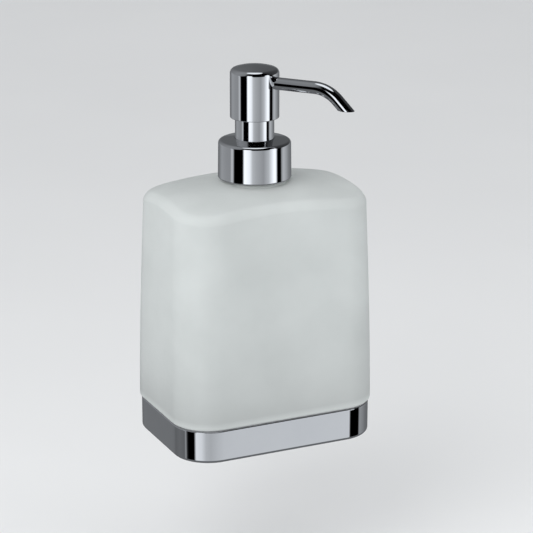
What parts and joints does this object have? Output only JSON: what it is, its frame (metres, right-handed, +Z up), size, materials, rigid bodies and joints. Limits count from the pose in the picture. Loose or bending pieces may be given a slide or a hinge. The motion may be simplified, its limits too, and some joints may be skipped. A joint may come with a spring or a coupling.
{
  "type": "wall mounted soap dispenser",
  "caption": "Satin glass soap bottle with a press pump and bent spout, lifting out of a polished ring holder on a wall bracket.",
  "frame": {"origin": "centre of the wall plate's back face, on the wall", "axes": "+Z up, +Y into the wall, the bottle stands off along -Y, +X to the right when facing the wall"},
  "size_m": [0.0928, 0.1175, 0.1777],
  "materials": {
    "chrome": "polished, mirror bright",
    "satin_glass": "acid-etched satin outside, smooth inside",
    "liner_plastic": "moulded, fine matt",
    "pump_plastic": "natural white moulded polypropylene",
    "piston_plastic": "soft polyethylene, waxy",
    "tube_plastic": "extruded translucent polyethylene",
    "seal_rubber": "soft foamed seal, matt",
    "plated_steel": "zinc plated",
    "spring_steel": "bright drawn stainless",
    "zinc_casting": "die cast, tumbled"
  },
  "bodies": {
    "holder": {"wall_plate": "zinc_casting", "wall_screws": "plated_steel", "wall_cover": "chrome", "cover_grub_screw": "plated_steel", "holder_arm": "chrome", "holder_bolt": "plated_steel", "holder_nut": "plated_steel", "holder_ring": "chrome", "ring_liner": "liner_plastic"},
    "bottle": {"bottle": "satin_glass"},
    "neck_seal": {"neck_gasket": "seal_rubber"},
    "pump_engine": {"pump_housing": "pump_plastic", "pump_cap": "pump_plastic", "guide_sleeve": "chrome", "dip_tube": "tube_plastic", "return_spring": "spring_steel"},
    "collar": {"collar_shell": "chrome", "collar_thread_insert": "pump_plastic"},
    "check_ball": {"inlet_ball": "spring_steel"},
    "plunger": {"piston": "piston_plastic"},
    "head": {"stem_foot": "pump_plastic", "stem": "pump_plastic", "head_core": "pump_plastic", "head_shell": "chrome", "spout": "chrome", "spout_liner": "tube_plastic"}
  },
  "joints": [
    {"name": "bottle_lift", "type": "slide", "parent": "holder", "child": "bottle", "axis": [0, 0, 1], "range_m": [0, 0.05]},
    {"name": "pump_lift", "type": "slide", "parent": "bottle", "child": "neck_seal", "axis": [0, 0, 1], "range_m": [0, 0.118]},
    {"name": "thread_rise", "type": "slide", "parent": "neck_seal", "child": "pump_engine", "axis": [0, 0, 1], "range_m": [0, 0.0064]},
    {"name": "collar_unscrew", "type": "hinge", "parent": "pump_engine", "child": "collar", "pos_m": [0, -0.056, 0.1129], "axis": [0, 0, 1], "range_deg": [0, 540]},
    {"name": "ball_lift", "type": "slide", "parent": "pump_engine", "child": "check_ball", "axis": [0, 0, 1], "range_m": [0, 0.0012]},
    {"name": "press", "type": "slide", "parent": "pump_engine", "child": "plunger", "axis": [0, 0, -1], "range_m": [0, 0.008], "stiffness_N_per_m": 900, "springref_m": -0.006, "deforming": ["return_spring"]},
    {"name": "head_turn", "type": "hinge", "parent": "plunger", "child": "head", "pos_m": [0, -0.056, 0.1329], "axis": [0, 0, 1], "continuous": true}
  ],
  "couplings": [
    {"joint": "thread_rise", "follows": "collar_unscrew", "m_per_rad": 0.00067322}
  ]
}
